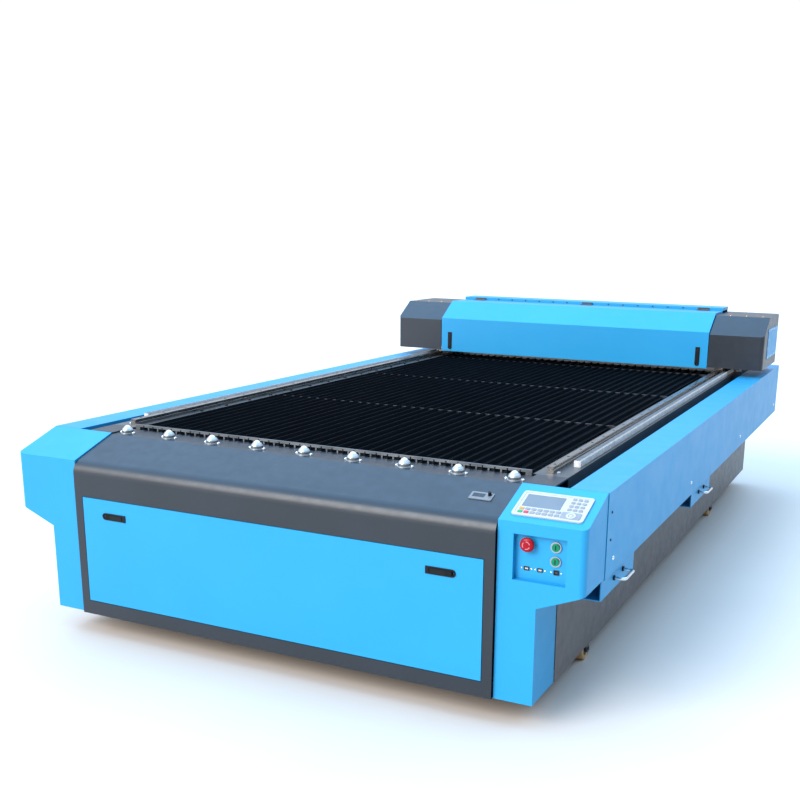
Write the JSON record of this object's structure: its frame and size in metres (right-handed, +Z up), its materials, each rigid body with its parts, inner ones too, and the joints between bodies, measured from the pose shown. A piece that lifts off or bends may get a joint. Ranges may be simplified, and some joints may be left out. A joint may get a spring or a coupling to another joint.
{
  "type": "laser cutting machine",
  "caption": "Flat-bed laser cutter: steel cabinet on castors, slat bed with front ball units, rack-driven gantry under a hinged cover, drop-down door and control wing.",
  "frame": {"origin": "on the floor under the middle of the machine's bounding box", "axes": "+Y from the operator's end to the rear along the bed, +X to the operator's right, +Z up"},
  "size_m": [2.0214, 3.3338, 0.956],
  "materials": {
    "blue_paint": "gloss powder coat",
    "dark_paint": "satin powder coat",
    "skirt_paint": "satin powder coat",
    "frame_paint": "matt primer",
    "slat_black": "black anodised",
    "bar_grey": "satin",
    "rail_steel": "ground",
    "rack_steel": "milled",
    "zinc": "bright zinc",
    "chrome": "bright",
    "keypad_white": "satin",
    "lcd": "dark liquid crystal window",
    "red": "gloss",
    "green": "gloss, lit from behind",
    "black_plastic": "satin",
    "black_steel": "satin",
    "tan_wheel": "polyurethane",
    "pan_steel": "matt",
    "box_metal": "satin",
    "beam_alu": "satin anodised",
    "tube_glass": "clear",
    "motor_black": "satin",
    "belt_rubber": "matt",
    "head_grey": "anodised",
    "head_alu": "anodised",
    "meter_silver": "satin",
    "socket_metal": "stamped"
  },
  "bodies": {
    "machine": {"base_frame": "frame_paint", "front_panel": "dark_paint", "left_wing": "blue_paint", "right_wing": "blue_paint", "side_covers": "blue_paint", "side_skirts": "skirt_paint", "rear_panel": "skirt_paint", "side_brackets": "blue_paint", "grab_handles": "chrome", "waste_pan": "pan_steel", "electrics": "box_metal", "linear_rails": "rail_steel", "gear_racks": "rack_steel", "slat_bars": "bar_grey", "slats": "slat_black", "ball_cups": "zinc", "transfer_balls": "chrome", "keypad_body": "keypad_white", "keypad_display": "lcd", "panel_rings": "chrome", "data_sockets": "socket_metal", "power_meter": "meter_silver"},
    "stop": {"stop_head": "red"},
    "start": {"start_button": "green"},
    "laser_enable": {"laser_button": "green"},
    "knob": {"meter_knob": "black_plastic"},
    "door": {"front_door": "blue_paint", "door_latch_housings": "black_plastic"},
    "door_lever_left": {"door_latch_left": "black_plastic"},
    "door_lever_right": {"door_latch_right": "black_plastic"},
    "gantry": {"gantry_beam": "beam_alu", "end_plates": "beam_alu", "rail_blocks": "rail_steel", "x_rail": "rail_steel", "end_covers": "dark_paint", "end_access_plates": "blue_paint", "tube_housing": "blue_paint", "laser_tube": "tube_glass", "motors": "motor_black", "x_belt": "belt_rubber", "cover_hinges": "black_steel"},
    "pinion_left": {"left_pinion": "rack_steel"},
    "pinion_right": {"right_pinion": "rack_steel"},
    "pulley_drive": {"drive_pulley": "beam_alu"},
    "pulley_idler": {"idler_pulley": "beam_alu"},
    "cover": {"gantry_cover": "blue_paint", "cover_hinge_leaves": "black_steel", "cover_latch_housings": "black_plastic"},
    "cover_lever_left": {"cover_latch_left": "black_plastic"},
    "cover_lever_right": {"cover_latch_right": "black_plastic"},
    "head": {"head_carriage": "head_grey", "laser_head": "head_alu"},
    "castor_front_left": {"fork_front_left": "black_steel"},
    "castor_wheel_front_left": {"wheel_front_left": "tan_wheel"},
    "castor_front_right": {"fork_front_right": "black_steel"},
    "castor_wheel_front_right": {"wheel_front_right": "tan_wheel"},
    "castor_rear_left": {"fork_rear_left": "black_steel"},
    "castor_wheel_rear_left": {"wheel_rear_left": "tan_wheel"},
    "castor_rear_right": {"fork_rear_right": "black_steel"},
    "castor_wheel_rear_right": {"wheel_rear_right": "tan_wheel"}
  },
  "joints": [
    {"name": "gantry_travel", "type": "slide", "parent": "machine", "child": "gantry", "axis": [0, 1, 0], "range_m": [-2.44, 0.06]},
    {"name": "head_travel", "type": "slide", "parent": "gantry", "child": "head", "axis": [1, 0, 0], "range_m": [-1.21, 0.09]},
    {"name": "cover_hinge", "type": "hinge", "parent": "gantry", "child": "cover", "pos_m": [0, 1.354, 0.944], "axis": [-1, 0, 0], "range_deg": [0, 92]},
    {"name": "door_hinge", "type": "hinge", "parent": "machine", "child": "door", "pos_m": [0, -1.659, 0.134], "axis": [1, 0, 0], "range_deg": [0, 90]},
    {"name": "door_lever_left_pull", "type": "hinge", "parent": "door", "child": "door_lever_left", "pos_m": [-0.5443, -1.6643, 0.421], "axis": [0, 0, 1], "range_deg": [0, 40]},
    {"name": "cover_lever_left_pull", "type": "hinge", "parent": "cover", "child": "cover_lever_left", "pos_m": [-0.67, 1.0527, 0.7677], "axis": [-1, 0, 0], "range_deg": [0, 40]},
    {"name": "door_lever_right_pull", "type": "hinge", "parent": "door", "child": "door_lever_right", "pos_m": [0.5443, -1.6643, 0.421], "axis": [0, 0, -1], "range_deg": [0, 40]},
    {"name": "cover_lever_right_pull", "type": "hinge", "parent": "cover", "child": "cover_lever_right", "pos_m": [0.67, 1.0527, 0.7677], "axis": [-1, 0, 0], "range_deg": [0, 40]},
    {"name": "stop_push", "type": "slide", "parent": "machine", "child": "stop", "axis": [0, 1, 0], "range_m": [0, 0.005], "stiffness_N_per_m": 2500},
    {"name": "start_push", "type": "slide", "parent": "machine", "child": "start", "axis": [0, 1, 0], "range_m": [0, 0.003], "stiffness_N_per_m": 1500},
    {"name": "laser_push", "type": "slide", "parent": "machine", "child": "laser_enable", "axis": [0, 1, 0], "range_m": [0, 0.003], "stiffness_N_per_m": 1500},
    {"name": "knob_turn", "type": "hinge", "parent": "machine", "child": "knob", "pos_m": [0.668, -1.55341, 0.62003], "axis": [0, -0.3376, 0.9413], "range_deg": [0, 270]},
    {"name": "swivel_front_left", "type": "hinge", "parent": "machine", "child": "castor_front_left", "pos_m": [-0.812, -1.135, 0.095], "axis": [0, 0, 1], "continuous": true},
    {"name": "roll_front_left", "type": "hinge", "parent": "castor_front_left", "child": "castor_wheel_front_left", "pos_m": [-0.812, -1.107, 0.0375], "axis": [1, 0, 0], "continuous": true},
    {"name": "swivel_front_right", "type": "hinge", "parent": "machine", "child": "castor_front_right", "pos_m": [0.812, -1.135, 0.095], "axis": [0, 0, 1], "continuous": true},
    {"name": "roll_front_right", "type": "hinge", "parent": "castor_front_right", "child": "castor_wheel_front_right", "pos_m": [0.812, -1.107, 0.0375], "axis": [1, 0, 0], "continuous": true},
    {"name": "swivel_rear_left", "type": "hinge", "parent": "machine", "child": "castor_rear_left", "pos_m": [-0.812, 0.815, 0.095], "axis": [0, 0, 1], "continuous": true},
    {"name": "roll_rear_left", "type": "hinge", "parent": "castor_rear_left", "child": "castor_wheel_rear_left", "pos_m": [-0.812, 0.843, 0.0375], "axis": [1, 0, 0], "continuous": true},
    {"name": "swivel_rear_right", "type": "hinge", "parent": "machine", "child": "castor_rear_right", "pos_m": [0.812, 0.815, 0.095], "axis": [0, 0, 1], "continuous": true},
    {"name": "roll_rear_right", "type": "hinge", "parent": "castor_rear_right", "child": "castor_wheel_rear_right", "pos_m": [0.812, 0.843, 0.0375], "axis": [1, 0, 0], "continuous": true},
    {"name": "pinion_left_turn", "type": "hinge", "parent": "gantry", "child": "pinion_left", "pos_m": [-0.8325, 1.272, 0.66], "axis": [0, 0, 1], "continuous": true},
    {"name": "pinion_right_turn", "type": "hinge", "parent": "gantry", "child": "pinion_right", "pos_m": [0.8325, 1.272, 0.66], "axis": [0, 0, 1], "continuous": true},
    {"name": "pulley_drive_turn", "type": "hinge", "parent": "gantry", "child": "pulley_drive", "pos_m": [0.684, 1.242, 0.87], "axis": [0, 0, 1], "continuous": true},
    {"name": "pulley_idler_turn", "type": "hinge", "parent": "gantry", "child": "pulley_idler", "pos_m": [-0.684, 1.242, 0.87], "axis": [0, 0, 1], "continuous": true}
  ],
  "couplings": [
    {"joint": "pinion_right_turn", "follows": "gantry_travel", "rad_per_m": 57.143},
    {"joint": "pinion_left_turn", "follows": "gantry_travel", "rad_per_m": -57.143},
    {"joint": "pulley_drive_turn", "follows": "head_travel", "rad_per_m": 76.923},
    {"joint": "pulley_idler_turn", "follows": "head_travel", "rad_per_m": 76.923}
  ]
}
